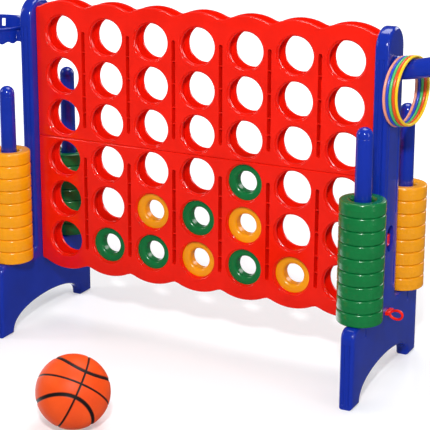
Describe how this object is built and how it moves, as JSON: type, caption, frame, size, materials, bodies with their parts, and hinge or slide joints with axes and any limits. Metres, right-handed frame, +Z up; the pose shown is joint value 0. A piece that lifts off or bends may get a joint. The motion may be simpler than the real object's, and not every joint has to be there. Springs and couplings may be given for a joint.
{
  "type": "giant four in a row",
  "caption": "Free-standing giant four-in-a-row board between two legs, with ring discs on pegs, a release slider, a ball hoop, a toss arm with rings, and a ball.",
  "frame": {"origin": "middle of the bounding box's base, on the ground", "axes": "+X along the board towards the toss arm, +Y from front to back, +Z up"},
  "size_m": [1.8294, 1.0624, 1.042],
  "materials": {
    "red_plastic": "semi-gloss moulded plastic, scarlet",
    "blue_plastic": "semi-gloss moulded plastic, royal blue",
    "green_plastic": "semi-gloss moulded plastic, green",
    "yellow_plastic": "semi-gloss moulded plastic, warm yellow",
    "toss_ring_pink": "plain plastic tube, salmon pink",
    "toss_ring_blue": "plain plastic tube, blue",
    "toss_ring_green": "plain plastic tube, green",
    "toss_ring_orange": "plain plastic tube, orange red",
    "toss_ring_yellow": "plain plastic tube, yellow",
    "ball_rubber": "pebbled orange rubber with black seams"
  },
  "bodies": {
    "frame": {"left_leg": "blue_plastic", "right_leg": "blue_plastic", "front_left_peg": "blue_plastic", "front_right_peg": "blue_plastic", "rear_left_peg": "blue_plastic", "rear_right_peg": "blue_plastic", "board_front_upper": "red_plastic", "board_front_lower": "red_plastic", "board_back_upper": "red_plastic", "board_back_lower": "red_plastic", "column_walls": "red_plastic", "ball_hoop": "blue_plastic", "toss_arm": "blue_plastic"},
    "yellow_disc_front_left_1": {"yellow_disc_front_left_1": "yellow_plastic"},
    "yellow_disc_front_left_2": {"yellow_disc_front_left_2": "yellow_plastic"},
    "yellow_disc_front_left_3": {"yellow_disc_front_left_3": "yellow_plastic"},
    "yellow_disc_front_left_4": {"yellow_disc_front_left_4": "yellow_plastic"},
    "yellow_disc_front_left_5": {"yellow_disc_front_left_5": "yellow_plastic"},
    "yellow_disc_front_left_6": {"yellow_disc_front_left_6": "yellow_plastic"},
    "yellow_disc_front_left_7": {"yellow_disc_front_left_7": "yellow_plastic"},
    "yellow_disc_front_left_8": {"yellow_disc_front_left_8": "yellow_plastic"},
    "yellow_disc_front_left_9": {"yellow_disc_front_left_9": "yellow_plastic"},
    "green_disc_front_right_1": {"green_disc_front_right_1": "green_plastic"},
    "green_disc_front_right_2": {"green_disc_front_right_2": "green_plastic"},
    "green_disc_front_right_3": {"green_disc_front_right_3": "green_plastic"},
    "green_disc_front_right_4": {"green_disc_front_right_4": "green_plastic"},
    "green_disc_front_right_5": {"green_disc_front_right_5": "green_plastic"},
    "green_disc_front_right_6": {"green_disc_front_right_6": "green_plastic"},
    "green_disc_front_right_7": {"green_disc_front_right_7": "green_plastic"},
    "green_disc_front_right_8": {"green_disc_front_right_8": "green_plastic"},
    "green_disc_front_right_9": {"green_disc_front_right_9": "green_plastic"},
    "green_disc_rear_left_1": {"green_disc_rear_left_1": "green_plastic"},
    "green_disc_rear_left_2": {"green_disc_rear_left_2": "green_plastic"},
    "green_disc_rear_left_3": {"green_disc_rear_left_3": "green_plastic"},
    "green_disc_rear_left_4": {"green_disc_rear_left_4": "green_plastic"},
    "green_disc_rear_left_5": {"green_disc_rear_left_5": "green_plastic"},
    "yellow_disc_rear_right_1": {"yellow_disc_rear_right_1": "yellow_plastic"},
    "yellow_disc_rear_right_2": {"yellow_disc_rear_right_2": "yellow_plastic"},
    "yellow_disc_rear_right_3": {"yellow_disc_rear_right_3": "yellow_plastic"},
    "yellow_disc_rear_right_4": {"yellow_disc_rear_right_4": "yellow_plastic"},
    "yellow_disc_rear_right_5": {"yellow_disc_rear_right_5": "yellow_plastic"},
    "yellow_disc_rear_right_6": {"yellow_disc_rear_right_6": "yellow_plastic"},
    "yellow_disc_rear_right_7": {"yellow_disc_rear_right_7": "yellow_plastic"},
    "yellow_disc_rear_right_8": {"yellow_disc_rear_right_8": "yellow_plastic"},
    "green_disc_column_2_1": {"green_disc_column_2_1": "green_plastic"},
    "green_disc_column_3_1": {"green_disc_column_3_1": "green_plastic"},
    "yellow_disc_column_3_2": {"yellow_disc_column_3_2": "yellow_plastic"},
    "yellow_disc_column_4_1": {"yellow_disc_column_4_1": "yellow_plastic"},
    "green_disc_column_4_2": {"green_disc_column_4_2": "green_plastic"},
    "green_disc_column_5_1": {"green_disc_column_5_1": "green_plastic"},
    "yellow_disc_column_5_2": {"yellow_disc_column_5_2": "yellow_plastic"},
    "green_disc_column_5_3": {"green_disc_column_5_3": "green_plastic"},
    "yellow_disc_column_6_1": {"yellow_disc_column_6_1": "yellow_plastic"},
    "release_slider": {"release_slider": "red_plastic"},
    "toss_ring_pink": {"toss_ring_pink": "toss_ring_pink"},
    "toss_ring_blue": {"toss_ring_blue": "toss_ring_blue"},
    "toss_ring_green": {"toss_ring_green": "toss_ring_green"},
    "toss_ring_orange": {"toss_ring_orange": "toss_ring_orange"},
    "toss_ring_yellow": {"toss_ring_yellow": "toss_ring_yellow"},
    "basketball": {"basketball": "ball_rubber"}
  },
  "joints": [
    {"name": "yellow_disc_front_left_1_lift", "type": "slide", "parent": "frame", "child": "yellow_disc_front_left_1", "axis": [0, 0, 1], "range_m": [0, 0.562]},
    {"name": "yellow_disc_front_left_2_lift", "type": "slide", "parent": "yellow_disc_front_left_1", "child": "yellow_disc_front_left_2", "axis": [0, 0, 1], "range_m": [0, 0.522]},
    {"name": "yellow_disc_front_left_3_lift", "type": "slide", "parent": "yellow_disc_front_left_2", "child": "yellow_disc_front_left_3", "axis": [0, 0, 1], "range_m": [0, 0.483]},
    {"name": "yellow_disc_front_left_4_lift", "type": "slide", "parent": "yellow_disc_front_left_3", "child": "yellow_disc_front_left_4", "axis": [0, 0, 1], "range_m": [0, 0.443]},
    {"name": "yellow_disc_front_left_5_lift", "type": "slide", "parent": "yellow_disc_front_left_4", "child": "yellow_disc_front_left_5", "axis": [0, 0, 1], "range_m": [0, 0.404]},
    {"name": "yellow_disc_front_left_6_lift", "type": "slide", "parent": "yellow_disc_front_left_5", "child": "yellow_disc_front_left_6", "axis": [0, 0, 1], "range_m": [0, 0.364]},
    {"name": "yellow_disc_front_left_7_lift", "type": "slide", "parent": "yellow_disc_front_left_6", "child": "yellow_disc_front_left_7", "axis": [0, 0, 1], "range_m": [0, 0.325]},
    {"name": "yellow_disc_front_left_8_lift", "type": "slide", "parent": "yellow_disc_front_left_7", "child": "yellow_disc_front_left_8", "axis": [0, 0, 1], "range_m": [0, 0.285]},
    {"name": "yellow_disc_front_left_9_lift", "type": "slide", "parent": "yellow_disc_front_left_8", "child": "yellow_disc_front_left_9", "axis": [0, 0, 1], "range_m": [0, 0.246]},
    {"name": "green_disc_front_right_1_lift", "type": "slide", "parent": "frame", "child": "green_disc_front_right_1", "axis": [0, 0, 1], "range_m": [0, 0.562]},
    {"name": "green_disc_front_right_2_lift", "type": "slide", "parent": "green_disc_front_right_1", "child": "green_disc_front_right_2", "axis": [0, 0, 1], "range_m": [0, 0.522]},
    {"name": "green_disc_front_right_3_lift", "type": "slide", "parent": "green_disc_front_right_2", "child": "green_disc_front_right_3", "axis": [0, 0, 1], "range_m": [0, 0.483]},
    {"name": "green_disc_front_right_4_lift", "type": "slide", "parent": "green_disc_front_right_3", "child": "green_disc_front_right_4", "axis": [0, 0, 1], "range_m": [0, 0.443]},
    {"name": "green_disc_front_right_5_lift", "type": "slide", "parent": "green_disc_front_right_4", "child": "green_disc_front_right_5", "axis": [0, 0, 1], "range_m": [0, 0.404]},
    {"name": "green_disc_front_right_6_lift", "type": "slide", "parent": "green_disc_front_right_5", "child": "green_disc_front_right_6", "axis": [0, 0, 1], "range_m": [0, 0.364]},
    {"name": "green_disc_front_right_7_lift", "type": "slide", "parent": "green_disc_front_right_6", "child": "green_disc_front_right_7", "axis": [0, 0, 1], "range_m": [0, 0.325]},
    {"name": "green_disc_front_right_8_lift", "type": "slide", "parent": "green_disc_front_right_7", "child": "green_disc_front_right_8", "axis": [0, 0, 1], "range_m": [0, 0.285]},
    {"name": "green_disc_front_right_9_lift", "type": "slide", "parent": "green_disc_front_right_8", "child": "green_disc_front_right_9", "axis": [0, 0, 1], "range_m": [0, 0.246]},
    {"name": "green_disc_rear_left_1_lift", "type": "slide", "parent": "frame", "child": "green_disc_rear_left_1", "axis": [0, 0, 1], "range_m": [0, 0.562]},
    {"name": "green_disc_rear_left_2_lift", "type": "slide", "parent": "green_disc_rear_left_1", "child": "green_disc_rear_left_2", "axis": [0, 0, 1], "range_m": [0, 0.483]},
    {"name": "green_disc_rear_left_3_lift", "type": "slide", "parent": "green_disc_rear_left_2", "child": "green_disc_rear_left_3", "axis": [0, 0, 1], "range_m": [0, 0.404]},
    {"name": "green_disc_rear_left_4_lift", "type": "slide", "parent": "green_disc_rear_left_3", "child": "green_disc_rear_left_4", "axis": [0, 0, 1], "range_m": [0, 0.364]},
    {"name": "green_disc_rear_left_5_lift", "type": "slide", "parent": "green_disc_rear_left_4", "child": "green_disc_rear_left_5", "axis": [0, 0, 1], "range_m": [0, 0.325]},
    {"name": "yellow_disc_rear_right_1_lift", "type": "slide", "parent": "frame", "child": "yellow_disc_rear_right_1", "axis": [0, 0, 1], "range_m": [0, 0.562]},
    {"name": "yellow_disc_rear_right_2_lift", "type": "slide", "parent": "yellow_disc_rear_right_1", "child": "yellow_disc_rear_right_2", "axis": [0, 0, 1], "range_m": [0, 0.522]},
    {"name": "yellow_disc_rear_right_3_lift", "type": "slide", "parent": "yellow_disc_rear_right_2", "child": "yellow_disc_rear_right_3", "axis": [0, 0, 1], "range_m": [0, 0.483]},
    {"name": "yellow_disc_rear_right_4_lift", "type": "slide", "parent": "yellow_disc_rear_right_3", "child": "yellow_disc_rear_right_4", "axis": [0, 0, 1], "range_m": [0, 0.443]},
    {"name": "yellow_disc_rear_right_5_lift", "type": "slide", "parent": "yellow_disc_rear_right_4", "child": "yellow_disc_rear_right_5", "axis": [0, 0, 1], "range_m": [0, 0.404]},
    {"name": "yellow_disc_rear_right_6_lift", "type": "slide", "parent": "yellow_disc_rear_right_5", "child": "yellow_disc_rear_right_6", "axis": [0, 0, 1], "range_m": [0, 0.364]},
    {"name": "yellow_disc_rear_right_7_lift", "type": "slide", "parent": "yellow_disc_rear_right_6", "child": "yellow_disc_rear_right_7", "axis": [0, 0, 1], "range_m": [0, 0.325]},
    {"name": "yellow_disc_rear_right_8_lift", "type": "slide", "parent": "yellow_disc_rear_right_7", "child": "yellow_disc_rear_right_8", "axis": [0, 0, 1], "range_m": [0, 0.285]},
    {"name": "green_disc_column_2_1_lift", "type": "slide", "parent": "frame", "child": "green_disc_column_2_1", "axis": [0, 0, 1], "range_m": [0, 0.833]},
    {"name": "green_disc_column_3_1_lift", "type": "slide", "parent": "frame", "child": "green_disc_column_3_1", "axis": [0, 0, 1], "range_m": [0, 0.833]},
    {"name": "yellow_disc_column_3_2_lift", "type": "slide", "parent": "green_disc_column_3_1", "child": "yellow_disc_column_3_2", "axis": [0, 0, 1], "range_m": [0, 0.701]},
    {"name": "yellow_disc_column_4_1_lift", "type": "slide", "parent": "frame", "child": "yellow_disc_column_4_1", "axis": [0, 0, 1], "range_m": [0, 0.833]},
    {"name": "green_disc_column_4_2_lift", "type": "slide", "parent": "yellow_disc_column_4_1", "child": "green_disc_column_4_2", "axis": [0, 0, 1], "range_m": [0, 0.701]},
    {"name": "green_disc_column_5_1_lift", "type": "slide", "parent": "frame", "child": "green_disc_column_5_1", "axis": [0, 0, 1], "range_m": [0, 0.833]},
    {"name": "yellow_disc_column_5_2_lift", "type": "slide", "parent": "green_disc_column_5_1", "child": "yellow_disc_column_5_2", "axis": [0, 0, 1], "range_m": [0, 0.701]},
    {"name": "green_disc_column_5_3_lift", "type": "slide", "parent": "yellow_disc_column_5_2", "child": "green_disc_column_5_3", "axis": [0, 0, 1], "range_m": [0, 0.569]},
    {"name": "yellow_disc_column_6_1_lift", "type": "slide", "parent": "frame", "child": "yellow_disc_column_6_1", "axis": [0, 0, 1], "range_m": [0, 0.833]},
    {"name": "release_slider_pull", "type": "slide", "parent": "frame", "child": "release_slider", "axis": [1, 0, 0], "range_m": [0, 1.16]},
    {"name": "toss_ring_pink_off", "type": "slide", "parent": "frame", "child": "toss_ring_pink", "axis": [0.9135, 0, 0.4067], "range_m": [0, 0.34]},
    {"name": "toss_ring_blue_off", "type": "slide", "parent": "toss_ring_pink", "child": "toss_ring_blue", "axis": [0.9135, 0, 0.4067], "range_m": [0, 0.34]},
    {"name": "toss_ring_green_off", "type": "slide", "parent": "toss_ring_blue", "child": "toss_ring_green", "axis": [0.9135, 0, 0.4067], "range_m": [0, 0.34]},
    {"name": "toss_ring_orange_off", "type": "slide", "parent": "toss_ring_green", "child": "toss_ring_orange", "axis": [0.9135, 0, 0.4067], "range_m": [0, 0.34]},
    {"name": "toss_ring_yellow_off", "type": "slide", "parent": "toss_ring_orange", "child": "toss_ring_yellow", "axis": [0.9135, 0, 0.4067], "range_m": [0, 0.34]},
    {"name": "basketball_lift", "type": "slide", "parent": "frame", "child": "basketball", "axis": [0, 0, 1], "range_m": [0, 1]}
  ]
}
